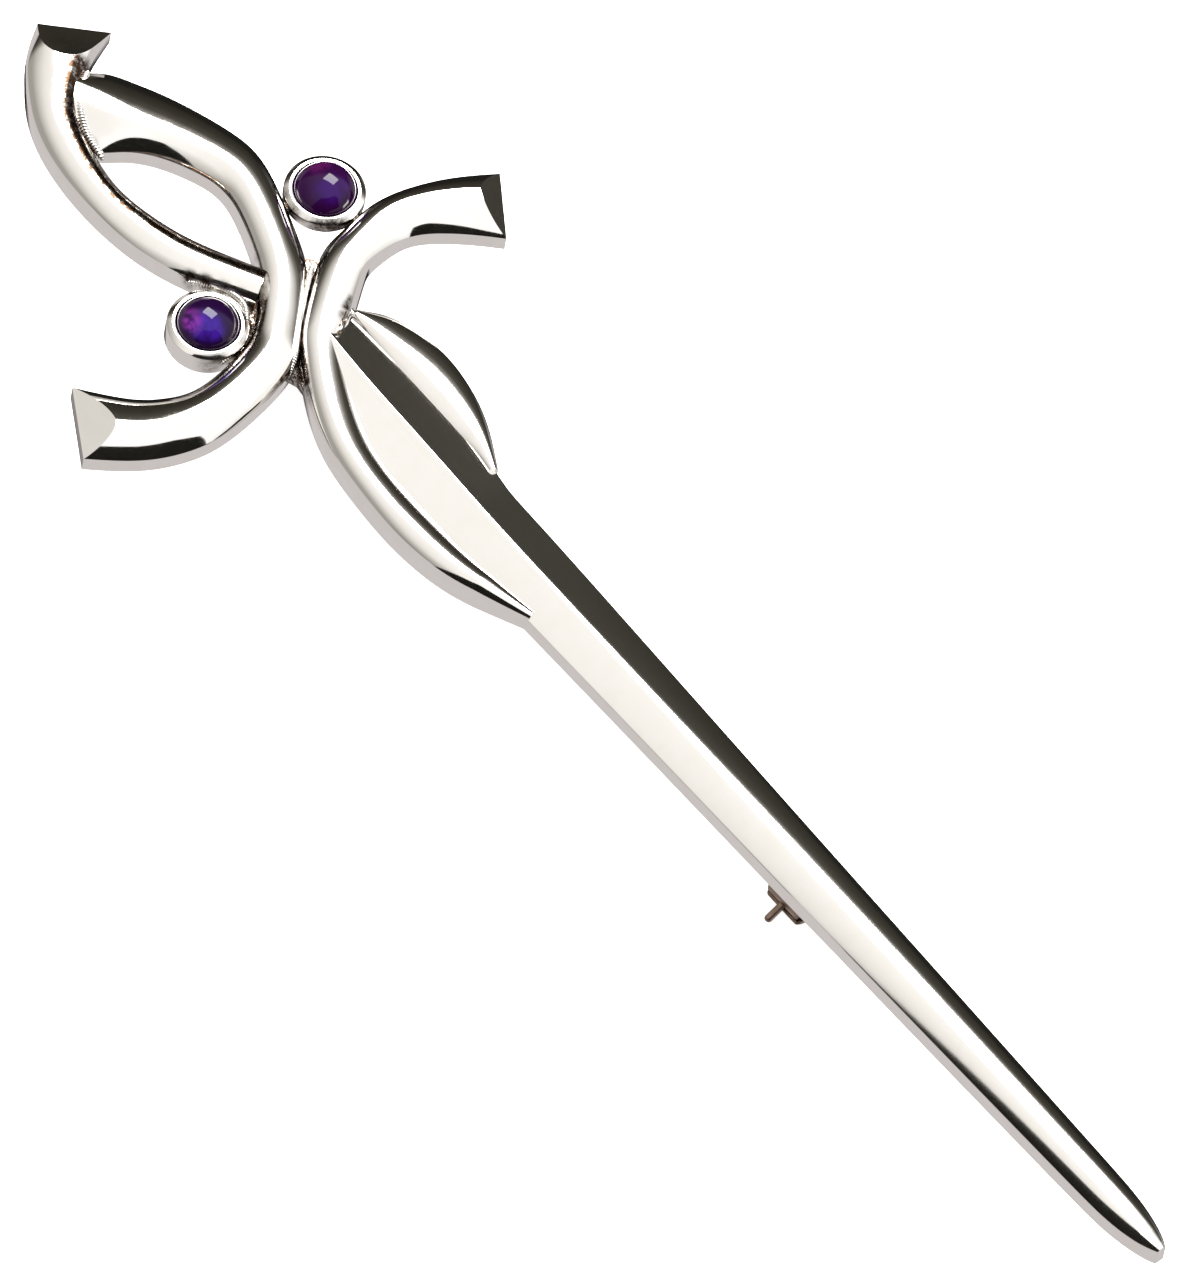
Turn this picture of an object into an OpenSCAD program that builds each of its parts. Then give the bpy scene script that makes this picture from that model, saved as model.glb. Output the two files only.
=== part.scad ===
/* [Overall] */
// Length of the blade, from its cut top end to its point
blade_l = 79.8; // [64:0.2:100]
// Length of the hilt, from the blade's top end to the end of the horn
hilt_l = 28.3; // [24:0.1:34]
// Reach of the cross guard, from the blade's middle to the end of an arm
guard_reach = 17; // [14:0.1:21]

/* [Metal] */
// Height of the plain upright wall around the back face
wall_h = 1.2; // [0.8:0.05:1.8]
// Rise of the rounded front over the wall on a band of no width
crown_h = 0.75; // [0.4:0.05:1.2]
// Extra rise for each millimetre of half width
crown_gain = 0.18; // [0:0.01:0.3]

/* [Blade] */
// Width of the blade at its top end
blade_w = 5.1; // [4.4:0.1:6]
// Rise of the blade's ridge over the wall at its top end
ridge_h = 1; // [0.7:0.05:1.5]

/* [Stones] */
// Diameter of a round stone
stone_d = 4.2; // [3.6:0.1:4.8]
// Rise of a stone's dome over the rim of its cup
stone_rise = 1.3; // [0.6:0.05:1.8]
// Thickness of a cup's wall
cup_wall = 0.4; // [0.3:0.05:0.7]
// Height of the cups' rims over the back face
rim_h = 1.75; // [1.5:0.05:2.4]
// Depth of the right cup's underside below the bands' wall tops
right_cup_dip = 0.45; // [0.4:0.05:0.8]
// Thickness of a cup's floor
cup_floor = 0.4; // [0.3:0.05:0.6]

/* [Pin] */
// Diameter of the pin's wire
wire_d = 1; // [0.8:0.05:1.2]
// Depth of the wire's middle line behind the back face
wire_drop = 1.75; // [1.65:0.05:2.6]
// Length of the wire beyond the catch
wire_past = 2.2; // [1:0.1:4]
// Length of the wire's sharpened point
point_l = 1.6; // [0.8:0.1:3]
// Width of the pin's foot across the blade
foot_w = 3.4; // [2:0.1:3.8]
// Thickness of the foot's neck along the blade
neck_t = 2; // [1.4:0.1:3]
// Place of the foot along the blade
foot_x = 3.8; // [2.6:0.1:8]

/* [Catch] */
// Place of the catch along the blade, as a share of its length
catch_share = 0.573; // [0.45:0.001:0.7]
// Length of the catch along the blade
catch_l = 3; // [2.6:0.1:4.5]
// Outer radius of the catch and of the foot's drum
catch_r = 1.6; // [1.5:0.05:1.65]
// Thickness of the catch's rolled wall
catch_wall = 0.3; // [0.2:0.05:0.35]
// Width of the block that carries the catch
saddle_w = 1.4; // [1:0.1:1.8]
// Reach of the lever from the wire's middle line
lever_reach = 2.65; // [2.3:0.05:2.8]
// Width of the lever along the blade
lever_w = 0.46; // [0.35:0.01:1]
// Thickness of the lever
lever_t = 0.45; // [0.3:0.05:0.5]

/* [Hidden] */

// Clearances: of a seat, of the turning catch, of the wire in it, and beside a cup where solder fills it
seat_gap = 0.04;
run_gap = 0.05;
wire_gap = 0.08;
cup_gap = 0.025;
// How far a cut reaches past what it cuts, and the smoothness of round pieces
past = 1;
round_fn = 64;

// Steps of the curves: along a band between two rows of its table, and across its rounded front
band_steps = 3;
blade_steps = 3;
front_steps = 12;

// Columns of a band's table: x and y of its right edge and of its left edge, as it is followed from its first
// row, in shares of hilt_l along the blade and of guard_reach across it. Then how full its left half is, or below 0
// how ridged the whole front is; where its crown lies, from -1 at the right edge to 1 at the left edge; and the
// share of the usual rise that it has
rx = 0;
ry = 1;
lx = 2;
ly = 3;
full = 4;
lean = 5;
swell = 6;

// The horn's band: from its flared end round below the opening to the crescent
horn_rows = [
    [-1.000, 0.043, -0.888, 0.235, 0.9, 0.1, 1],
    [-0.957, -0.062, -0.862, 0.130, 0.8, 0.1, 1],
    [-0.911, -0.132, -0.834, 0.044, 0.1, 0.38, 1],
    [-0.853, -0.204, -0.792, -0.046, 0, 0.32, 1],
    [-0.777, -0.265, -0.735, -0.108, 0, 0.24, 1],
    [-0.678, -0.303, -0.650, -0.152, 0, 0.22, 1],
    [-0.565, -0.314, -0.565, -0.171, 0, 0.16, 1],
    [-0.450, -0.297, -0.477, -0.150, 0, 0.12, 1],
    [-0.350, -0.251, -0.389, -0.104, 0, 0, 1],
    [-0.260, -0.182, -0.306, -0.038, 0, 0, 1],
    [-0.165, -0.090, -0.215, 0.045, 0, 0, 1]
];

// The crescent: from under the horn over the opening, down between the stones and out to the left arm
crescent_rows = [
    [-0.726, -0.192, -0.854, 0.008, 0, 0.6, 0.6],
    [-0.668, -0.132, -0.815, 0.105, 0, 0.1, 0.82],
    [-0.630, -0.045, -0.755, 0.168, 0, -0.18, 1],
    [-0.572, 0.040, -0.672, 0.238, 0, -0.28, 1],
    [-0.490, 0.108, -0.532, 0.318, 0, -0.22, 1],
    [-0.410, 0.125, -0.412, 0.319, 0, -0.08, 1],
    [-0.300, 0.068, -0.243, 0.223, 0, 0, 1],
    [-0.205, -0.015, -0.145, 0.130, 0, 0, 1],
    [-0.125, -0.150, -0.043, -0.040, 0, 0, 1],
    [-0.092, -0.262, 0.016, -0.180, 0, 0, 1],
    [-0.074, -0.463, 0.050, -0.472, 0, 0, 1],
    [-0.097, -0.596, 0.040, -0.668, -0.12, 0.05, 1],
    [-0.143, -0.706, -0.003, -0.836, -0.25, 0.08, 1],
    [-0.236, -0.839, -0.080, -1.000, -0.35, 0.08, 1]
];

// The guard's band: from the right arm in to the crescent, then down along the blade's left edge
guard_rows = [
    [-0.117, 0.991, 0.021, 0.831, -0.35, -0.22, 1],
    [-0.172, 0.828, -0.041, 0.720, -0.25, -0.26, 1],
    [-0.208, 0.652, -0.094, 0.592, -0.1, -0.24, 1],
    [-0.216, 0.503, -0.107, 0.486, 0, -0.14, 1],
    [-0.201, 0.355, -0.100, 0.373, 0, 0, 1],
    [-0.174, 0.222, -0.074, 0.296, 0, 0, 1],
    [-0.080, 0.010, 0.002, 0.126, 0, 0, 1],
    [-0.020, -0.078, 0.055, 0.032, 0, 0, 1],
    [0.070, -0.172, 0.128, -0.036, 0, -0.05, 1],
    [0.194, -0.263, 0.234, -0.114, 0, -0.12, 1],
    [0.334, -0.300, 0.350, -0.150, 0, -0.15, 1],
    [0.475, -0.308, 0.480, -0.150, 0, -0.15, 1],
    [0.615, -0.273, 0.612, -0.140, 0, -0.15, 1],
    [0.720, -0.201, 0.714, -0.120, 0, -0.1, 1],
    [0.797, -0.137, 0.790, -0.100, 0, 0, 1]
];

// The leaf beside the blade's right edge, with its places across the blade in shares of blade_w
leaf_rows = [
    [-0.030, 0.540, -0.036, 0.600, 0, 0, 0.45],
    [0.030, 0.535, 0.015, 0.887, 0, -0.3, 0.45],
    [0.095, 0.535, 0.080, 1.037, 0, -0.25, 0.45],
    [0.160, 0.535, 0.155, 1.123, 0, -0.12, 0.45],
    [0.225, 0.535, 0.228, 1.110, 0, 0.02, 0.45],
    [0.290, 0.535, 0.300, 1.030, 0, 0.12, 0.45],
    [0.350, 0.530, 0.362, 0.907, 0, 0.2, 0.45],
    [0.405, 0.515, 0.416, 0.753, 0, 0.18, 0.45],
    [0.455, 0.480, 0.466, 0.590, 0, 0.1, 0.4]
];

// How far the sloped cut at a band's end reaches in along the band, as a share of the end's width
horn_cut = 0.62;
left_arm_cut = 0.43;
right_arm_cut = 0.32;
// How many rows of a table from the end a sloped cut can reach
cut_rows = 3;

// Columns of the blade's table: place along the blade as a share of blade_l, half widths on the left and the
// right and the ridge's place to the right as shares of half of blade_w, rise as a share of ridge_h, and how round
// the left and right faces are
along = 0;
half_left = 1;
half_right = 2;
ridge_off = 3;
rise = 4;
round_left = 5;
round_right = 6;
blade_rows = [
    [0.000, 1.000, 1.190, 0.20, 1.00, 0.00, 0.00],
    [0.050, 1.000, 1.180, 0.11, 1.00, 0.00, 0.00],
    [0.100, 1.000, 1.170, 0.08, 0.99, 0.00, 0.00],
    [0.155, 0.995, 1.150, 0.04, 0.98, 0.02, 0.00],
    [0.185, 0.985, 1.045, 0.02, 0.97, 0.04, 0.00],
    [0.250, 0.970, 1.010, 0.00, 0.96, 0.10, 0.00],
    [0.420, 0.870, 0.890, 0.00, 0.94, 0.25, 0.10],
    [0.600, 0.775, 0.765, 0.00, 0.90, 0.50, 0.30],
    [0.780, 0.665, 0.655, 0.00, 0.855, 0.80, 0.50],
    [0.900, 0.580, 0.580, 0.00, 0.80, 1.00, 0.65],
    [0.952, 0.500, 0.515, 0.00, 0.72, 1.00, 0.75],
    [0.982, 0.310, 0.340, 0.00, 0.54, 1.00, 0.85],
    [0.996, 0.120, 0.145, 0.00, 0.30, 1.00, 0.90]
];
// How much further the blade's top end reaches on the right than on the left, where it is trimmed to the band
top_skew = 0.62;
// Length of the blade's table that is moved by the skew, as a share of blade_l
skew_share = 0.06;

// Webs of solder that fill the seams between bands: outline points in shares of hilt_l and guard_reach
web_h = 0.85;
webs = [
    [[-0.198, 0.193], [-0.177, 0.239], [0.030, -0.130], [0.082, -0.165], [0.060, -0.158], [0.030, -0.152],
     [0.005, -0.168], [-0.020, -0.120]],
    [[-0.200, -0.050], [-0.140, -0.050], [-0.100, -0.150], [-0.120, -0.190], [-0.170, -0.160]]
];

// Places from which the cups slide in until they lie beside two bands, in the same shares
left_cup_start = [-0.182, -0.282];
right_cup_start = [-0.299, 0.429];
slide_steps = 24;

// Angles about the wire's middle line, from straight left of the blade towards the surface below
mouth_top = -42;
mouth_bottom = 44;
lever_angle = 30;
slot_angle = 78;

// Sizes of the catch and the frame that follow from the others
catch_x = catch_share * blade_l;
bore_r = catch_r - catch_wall;
crimp = catch_wall / 2;
rotor_r = bore_r - run_gap;
rotor_l = catch_l - 2 * (crimp + run_gap);
slot_w = wire_d + 2 * wire_gap;
wire_end = catch_x + catch_l / 2 + wire_past;
cup_r = stone_d / 2 + seat_gap + cup_wall;
right_cup_base = wall_h - right_cup_dip;

// A value between four rows of a table, on a Catmull-Rom curve
function between(a, b, c, d, t) =
    0.5 * (2 * b + (c - a) * t + (2 * a - 5 * b + 4 * c - d) * t * t + (3 * b - a - 3 * c + d) * t * t * t);

// All rows of a table with the steps between them
function smooth(rows, steps) = [
    for (i = [0:len(rows) - 2], k = [0:steps - 1])
        between(rows[max(i - 1, 0)], rows[i], rows[i + 1], rows[min(i + 2, len(rows) - 1)], k / steps),
    rows[len(rows) - 1]
];

// Height of a circle's arc over its chord, from 1 in the middle to 0 at both ends, for a rise and half width
function arc_share(t, half, rise) =
    let (r = (half * half + rise * rise) / (2 * rise))
    (sqrt(max(r * r - half * half * t * t, 0)) - (r - rise)) / rise;

// Height share across a band's front: an arc, a fuller curve on the left half, or an arc with a ridge
function front_share(t, half, rise, fullness) =
    let (arc = arc_share(t, half, rise), ridged = max(-fullness, 0), filled = t < 0 ? 0 : max(fullness, 0))
    arc * (1 - filled - ridged) + (1 - pow(t, 6)) * filled + (1 - abs(t)) * ridged;

function mix(a, b, t) = a + (b - a) * t;

// Faces of a closed loft through sections of n points each
function loft_faces(count, n) = [
    [for (j = [0:n - 1]) j],
    for (i = [0:count - 2], j = [0:n - 1])
        each [
            [i * n + j, (i + 1) * n + (j + 1) % n, i * n + (j + 1) % n],
            [i * n + j, (i + 1) * n + j, (i + 1) * n + (j + 1) % n]
        ],
    [for (j = [n - 1:-1:0]) (count - 1) * n + j]
];

// A row's edge points in millimetres
function left_point(row) = [row[lx] * hilt_l, row[ly] * guard_reach];
function right_point(row) = [row[rx] * hilt_l, row[ry] * guard_reach];

// Height of the sloped cut over a point, from the wall at the end's edge to the crown where the cut stops
function cut_height(p, a, b, inward, depth, top) =
    let (n = [b[1] - a[1], a[0] - b[0]] / norm(b - a), side = (p - a) * n * inward)
    wall_h + max(side, 0) * top / depth;

// Rounded front and flat back of a band across one row
function band_section(row, a, b, inward, depth, end_rise) =
    let (r = right_point(row), l = left_point(row), half = norm(l - r) / 2, top = (crown_h + crown_gain * half) * row[swell])
    [
        [r[0], r[1], 0],
        [l[0], l[1], 0],
        for (j = [front_steps:-1:0])
            let (t = 2 * j / front_steps - 1, across = row[lean] + t * (1 - sign(t) * row[lean]))
            let (p = mix(r, l, (across + 1) / 2))
            let (h = wall_h + top * front_share(t, half, top, row[full]))
            [p[0], p[1], min(h, cut_height(p, a, b, inward, depth, end_rise))]
    ];

// A band lofted through its table; the cut slopes in from the first row, or from the last with cut_last
module band(rows, cut = 0, cut_last = false) {
    line = smooth(rows, band_steps);
    end = cut_last ? line[len(line) - 1] : line[0];
    a = right_point(end);
    b = left_point(end);
    inner = cut_last ? line[len(line) - 2] : line[1];
    normal = [b[1] - a[1], a[0] - b[0]];
    inward = sign((right_point(inner) - a) * normal);
    end_rise = crown_h + crown_gain * norm(b - a) / 2;
    depth = max(cut, 0.01) * norm(b - a);
    reached = cut > 0 ? cut_rows * band_steps : 0;
    sections = [
        for (i = [0:len(line) - 1])
            let (steps = cut_last ? len(line) - 1 - i : i)
            band_section(line[i], a, b, inward, depth, steps < reached ? end_rise : end_rise * 100)
    ];
    points = [for (s = sections) each s];
    polyhedron(points, loft_faces(len(sections), front_steps + 3));
}

// Rise share of the blade's face at t, from 1 at the ridge to 0 at the edge, between flat and round
function face_share(t, roundness, half, rise) =
    mix(1 - t, arc_share(t, half, rise), roundness);

function blade_section(row) =
    let (
        left = row[half_left] * blade_w / 2,
        right = row[half_right] * blade_w / 2,
        ridge = row[ridge_off] * blade_w / 2,
        top = row[rise] * ridge_h,
        ease = max(1 - row[along] / skew_share, 0)
    )
    [
        for (p = concat(
            [[-left, 0], [right, 0]],
            [for (j = [front_steps / 2:-1:1])
                let (t = j / (front_steps / 2))
                [mix(ridge, right, t), wall_h + top * face_share(t, row[round_right], right - ridge, top)]],
            [for (j = [0:front_steps / 2])
                let (t = j / (front_steps / 2))
                [mix(ridge, -left, t), wall_h + top * face_share(t, row[round_left], left + ridge, top)]]
        ))
        [row[along] * blade_l - p[0] * top_skew * ease, p[0], p[1]]
    ];

module blade() {
    line = smooth(blade_rows, blade_steps);
    points = [for (row = line) each blade_section(row)];
    polyhedron(points, loft_faces(len(line), front_steps + 3));
}

// An edge of a band as a line of points
function right_edge(rows) = [for (row = smooth(rows, band_steps)) right_point(row)];
function left_edge(rows) = [for (row = smooth(rows, band_steps)) left_point(row)];

// The point of a line that is nearest to p
function foot_on(p, a, b) = a + (b - a) * min(max((p - a) * (b - a) / ((b - a) * (b - a)), 0), 1);
function nearest(p, line) =
    let (
        feet = [for (i = [0:len(line) - 2]) foot_on(p, line[i], line[i + 1])],
        ways = [for (f = feet) norm(p - f)]
    )
    feet[search(min(ways), ways)[0]];

// Where a circle of radius r comes to rest beside two lines when it slides in from p
function slid_in(p, lines, r, steps) =
    steps == 0 ? p :
    let (moves = [for (line = lines) let (f = nearest(p, line)) (p - f) * (r / norm(p - f) - 1)])
    slid_in(p + (moves[0] + moves[1]) * 0.7, lines, r, steps - 1);

function plan(share) = [share[0] * hilt_l, share[1] * guard_reach];

left_cup_bands = [right_edge(horn_rows), right_edge(crescent_rows)];
right_cup_bands = [left_edge(crescent_rows), right_edge(guard_rows)];
left_cup = slid_in(plan(left_cup_start), left_cup_bands, cup_r + cup_gap, slide_steps);
right_cup = slid_in(plan(right_cup_start), right_cup_bands, cup_r + cup_gap, slide_steps);

// Stands the pin with its middle over the origin, on the catch and on the foot's drum
module placed() translate([-(blade_l - hilt_l) / 2, 0, wire_drop + catch_r]) children();

// A cup with a bevelled rim, from its underside up to rim_h
module cup(place, base) {
    bevel = cup_wall * 0.6;
    rim_in = cup_r - cup_wall;
    rim_out = rim_in + cup_wall * 0.15;
    translate([place[0], place[1], base])
        rotate_extrude($fn = round_fn)
            polygon([
                [0, 0],
                [cup_r, 0],
                [cup_r, rim_h - base - bevel],
                [rim_out, rim_h - base],
                [rim_in, rim_h - base],
                [rim_in, cup_floor],
                [0, cup_floor]
            ]);
}

// Beads of solder that hold a cup to the two bands beside it
module beads(place, base, bands) {
    r = cup_wall * 0.85;
    sink = 0.06;
    for (line = bands) {
        f = nearest(place, line);
        translate([f[0], f[1], base + sink])
            cylinder(r = r, h = wall_h - base - 2 * sink, $fn = round_fn);
    }
}

// A round stone with a domed top, in its cup
module stone(place, base) {
    r = stone_d / 2;
    bottom = base + cup_floor + seat_gap;
    top = rim_h + stone_rise;
    girdle = rim_h - cup_wall * 0.4;
    dome_r = (r * r + (top - girdle) * (top - girdle)) / (2 * (top - girdle));
    translate([place[0], place[1], 0])
        intersection() {
            translate([0, 0, bottom])
                cylinder(r = r, h = top - bottom + past, $fn = round_fn);
            translate([0, 0, top - dome_r])
                sphere(r = dome_r, $fn = 2 * round_fn);
        }
}

// Moves to the middle of the catch on the wire's middle line
module at_catch() translate([catch_x, 0, -wire_drop]) children();

// A round bar along the blade
module bar(r, length) rotate([0, 90, 0]) cylinder(r = r, h = length, center = true, $fn = round_fn);

// A flat shape, x across the blade and y upwards, drawn out along the blade
module drawn(length) rotate([90, 0, 90]) linear_extrude(length, center = true) children();

// The catch's rolled housing with its mouth to the left, on a block under the blade
module catch_housing() {
    reach = catch_r + past;
    middle = (mouth_top + mouth_bottom) / 2;
    end = catch_l / 2;
    inner = bore_r - crimp;
    // Half of the wall's outline: the bore, the crimped lip that holds the lever's drum, and the rounded end
    half = concat(
        [[bore_r, end - crimp], [inner, end - crimp], [inner, end]],
        [for (angle = [90:-22.5:0]) [bore_r, end - catch_wall] + catch_wall * [cos(angle), sin(angle)]]
    );
    at_catch() {
        difference() {
            rotate([0, 90, 0])
                rotate_extrude($fn = round_fn)
                    polygon(concat(half, [for (i = [len(half) - 1:-1:0]) [half[i][0], -half[i][1]]]));
            drawn(catch_l + past)
                polygon([
                    [0, 0],
                    for (angle = [mouth_top, middle, mouth_bottom]) [-reach * cos(angle), -reach * sin(angle)]
                ]);
        }
        translate([-catch_l * 0.4, -saddle_w / 2, bore_r + catch_wall / 4])
            cube([catch_l * 0.8, saddle_w, wire_drop - bore_r + wall_h / 2]);
    }
}

// A table whose places across are shares of blade_w, turned into shares of guard_reach
function beside_blade(rows) =
    let (k = blade_w / guard_reach)
    [for (row = rows) [row[rx], row[ry] * k, row[lx], row[ly] * k, row[full], row[lean], row[swell]]];

// The bands, the webs and the blade, soldered and drawn as one closed skin
module casting() {
    resize([0, 0, 0])
        union() {
            band(horn_rows, horn_cut);
            band(crescent_rows, left_arm_cut, true);
            band(guard_rows, right_arm_cut);
            band(beside_blade(leaf_rows));
            blade();
            for (web = webs)
                linear_extrude(web_h)
                    polygon([for (p = web) plan(p)]);
        }
}

module sword_body() {
    color("gainsboro")
        placed() {
            casting();
            cup(left_cup, 0);
            beads(left_cup, 0, left_cup_bands);
            cup(right_cup, right_cup_base);
            beads(right_cup, right_cup_base, right_cup_bands);
            catch_housing();
        }
}

module stone_left() color("indigo") placed() stone(left_cup, 0);
module stone_right() color("rebeccapurple") placed() stone(right_cup, right_cup_base);

// The plain pin: a foot with a round drum, and the straight wire with its point
module pin_stem() {
    wire_l = wire_end - foot_x - point_l;
    color("lightgray")
        placed()
            translate([foot_x, 0, -wire_drop]) {
                rotate([90, 0, 0])
                    cylinder(r = catch_r, h = foot_w, center = true, $fn = round_fn);
                translate([-neck_t / 2, -foot_w / 2, 0])
                    cube([neck_t, foot_w, wire_drop - seat_gap]);
                rotate([0, 90, 0]) {
                    cylinder(d = wire_d, h = wire_l, $fn = round_fn);
                    translate([0, 0, wire_l])
                        cylinder(d1 = wire_d, d2 = wire_d / 8, h = point_l, $fn = round_fn);
                }
            }
}

// The turning part of the catch, which closes over the wire, with its lever
module catch_lever() {
    color("silver")
        placed()
            at_catch()
                difference() {
                    union() {
                        bar(rotor_r, rotor_l);
                        drawn(lever_w)
                            rotate(180 + lever_angle) {
                                translate([rotor_r / 2, -lever_t / 2])
                                    square([lever_reach - lever_t / 2 - rotor_r / 2, lever_t]);
                                translate([lever_reach - lever_t / 2, 0])
                                    circle(d = lever_t, $fn = round_fn);
                            }
                    }
                    bar(wire_d / 2 + wire_gap, catch_l);
                    drawn(catch_l)
                        rotate(180 + slot_angle)
                            translate([0, -slot_w / 2])
                                square([catch_r, slot_w]);
                }
}

sword_body();
stone_left();
stone_right();
pin_stem();
catch_lever();
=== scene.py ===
from math import atan, copysign, cos, degrees, pi, radians, sin, sqrt

import bmesh
import bpy
import numpy as np
from mathutils import Matrix, Vector, noise


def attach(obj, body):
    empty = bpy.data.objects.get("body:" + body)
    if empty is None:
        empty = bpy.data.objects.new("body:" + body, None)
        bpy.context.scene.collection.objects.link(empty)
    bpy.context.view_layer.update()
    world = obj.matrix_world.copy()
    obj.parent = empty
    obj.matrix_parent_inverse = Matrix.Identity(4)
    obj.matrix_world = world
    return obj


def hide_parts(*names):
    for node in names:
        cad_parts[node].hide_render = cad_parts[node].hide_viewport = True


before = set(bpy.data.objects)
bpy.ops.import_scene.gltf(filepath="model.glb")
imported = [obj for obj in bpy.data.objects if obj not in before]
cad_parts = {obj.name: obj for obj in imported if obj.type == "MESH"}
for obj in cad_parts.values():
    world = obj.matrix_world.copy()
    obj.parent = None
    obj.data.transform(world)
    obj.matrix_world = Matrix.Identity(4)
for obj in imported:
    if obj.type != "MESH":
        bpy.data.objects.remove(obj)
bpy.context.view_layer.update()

# Named sizes in millimetres and angles in degrees, as the part has them
MM = 0.001
BLADE_L = 79.8
HILT_L = 28.3
GUARD_REACH = 17.0
WALL_H = 1.2
CROWN_H = 0.75
CROWN_GAIN = 0.18
BLADE_W = 5.1
RIDGE_H = 1.0
STONE_D = 4.2
STONE_RISE = 1.3
CUP_WALL = 0.4
CUP_FLOOR = 0.4
# How far the burnished rim of a cup leans in over its stone
LIP = 0.13
# The rim's bevel, its flat top and the girdle's place under it, as shares of the cup's wall
RIM_BEVEL = 0.6
RIM_FLAT = 0.15
GIRDLE_DROP = 0.4
# How far below the rim its inner edge, its lip and its underside lie
RIM_DROPS = (0.02, 0.1, 0.2)
RIM_H = 1.75
RIGHT_CUP_BASE = 0.75
SEAT_GAP = 0.04
CUP_R = STONE_D / 2 + SEAT_GAP + CUP_WALL
WIRE_D = 1.0
WIRE_DROP = 1.75
WIRE_PAST = 2.2
POINT_L = 1.6
FOOT_W = 3.4
NECK_T = 2.0
FOOT_X = 3.8
CATCH_X = 0.573 * BLADE_L
CATCH_L = 3.0
CATCH_R = 1.6
CATCH_WALL = 0.3
CRIMP = CATCH_WALL / 2
BORE_R = CATCH_R - CATCH_WALL
TURN_GAP = 0.05
ROTOR_R = BORE_R - TURN_GAP
ROTOR_L = CATCH_L - 2 * (CRIMP + TURN_GAP)
LEVER_REACH = 2.65
LEVER_W = 0.46
LEVER_T = 0.45
LEVER_ANGLE = 30
SLOT_ANGLE = 78
WIRE_GAP = 0.08
SLOT_W = WIRE_D + 2 * WIRE_GAP
MOUTH_TOP = -42
MOUTH_BOTTOM = 44
SADDLE_W = 1.4
# The share of the catch's length that the saddle takes up to each side of its middle
SADDLE_SHARE = 0.4

# The flat model's place: its back lies at LIFT, and the middle of its length over the origin
SHIFT_X = -(BLADE_L - HILT_L) / 2
LIFT = WIRE_DROP + CATCH_R

# Small roundings in millimetres: the silver's edges, the ridge, the cups, and the parts of the back
CREASE_R = 0.09
BACK_R = 0.09
RIDGE_R = 0.05
CUP_EDGE = 0.045
CATCH_EDGE = 0.06
NECK_EDGE = 0.15
SADDLE_EDGE = 0.1
# Small chamfers of a stone and of the foot's drum
STONE_BEVEL = 0.12
DRUM_BEVEL = 0.12
# How much softer the blade's ridge gets, from which share of its length, and over which share
SOFT_RIDGE = 0.4
SOFT_FROM = 0.12
SOFT_OVER = 0.4

# How finely the sections follow the tables and the round forms
ROW_STEPS = 14
DOME_STEPS = 36
BLADE_STEPS = 24
FACE_STEPS = 13
RIDGE_STEPS = 8
CORNER_STEPS = 4
FINE_STEPS = 3
ROUND_STEPS = 32
TURN_STEPS = 96
GEM_STEPS = 128
GEM_RISE_STEPS = 27
# How finely the catch's wall, its ends and its lips, its drum, the wire, its point and the lever are drawn
WALL_STEPS = 71
END_STEPS = 8
LIP_STEPS = 5
DRUM_STEPS = 79
SHANK_STEPS = 39
POINT_STEPS = 15
LEVER_STEPS = 13
# A lip's first angle in radians, where its section is still more than a line
LIP_FIRST = 0.15
# How much a curve eases past measured rows, how little where it keeps to them, and how firmly it
# holds its ends
EASE = 0.004
FIRM_EASE = 0.0005
END_PULL = 10

# Where a band's right edge and its left edge begin in a row
RIGHT_EDGE = 0
LEFT_EDGE = 2
# Columns: x and y of a band's right edge and of its left edge, in shares of HILT_L and GUARD_REACH; how
# full its left half is, or below 0 how ridged its front is; where its crown lies, from -1 at the right
# edge to 1 at the left; and the share of the usual rise that it has
HORN_ROWS = [
    [-1.000, 0.043, -0.888, 0.235, 0.9, 0.1, 1],
    [-0.957, -0.062, -0.862, 0.130, 0.8, 0.1, 1],
    [-0.911, -0.132, -0.834, 0.044, 0.1, 0.38, 1],
    [-0.853, -0.204, -0.792, -0.046, 0, 0.32, 1],
    [-0.777, -0.265, -0.735, -0.108, 0, 0.24, 1],
    [-0.678, -0.303, -0.650, -0.152, 0, 0.22, 1],
    [-0.565, -0.314, -0.565, -0.171, 0, 0.16, 1],
    [-0.450, -0.297, -0.477, -0.150, 0, 0.12, 1],
    [-0.350, -0.251, -0.389, -0.104, 0, 0, 1],
    [-0.260, -0.182, -0.306, -0.038, 0, 0, 1],
    [-0.165, -0.090, -0.215, 0.045, 0, 0, 1],
]
CRESCENT_ROWS = [
    [-0.726, -0.192, -0.854, 0.008, 0, 0.6, 0.6],
    [-0.668, -0.132, -0.815, 0.105, 0, 0.1, 0.82],
    [-0.630, -0.045, -0.755, 0.168, 0, -0.18, 1],
    [-0.572, 0.040, -0.672, 0.238, 0, -0.28, 1],
    [-0.490, 0.108, -0.532, 0.318, 0, -0.22, 1],
    [-0.410, 0.125, -0.412, 0.319, 0, -0.08, 1],
    [-0.300, 0.068, -0.243, 0.223, 0, 0, 1],
    [-0.205, -0.015, -0.145, 0.130, 0, 0, 1],
    [-0.125, -0.150, -0.043, -0.040, 0, 0, 1],
    [-0.092, -0.262, 0.016, -0.180, 0, 0, 1],
    [-0.074, -0.463, 0.050, -0.472, 0, 0, 1],
    [-0.097, -0.596, 0.040, -0.668, -0.12, 0.05, 1],
    [-0.143, -0.706, -0.003, -0.836, -0.25, 0.08, 1],
    [-0.236, -0.839, -0.080, -1.000, -0.35, 0.08, 1],
]
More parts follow.
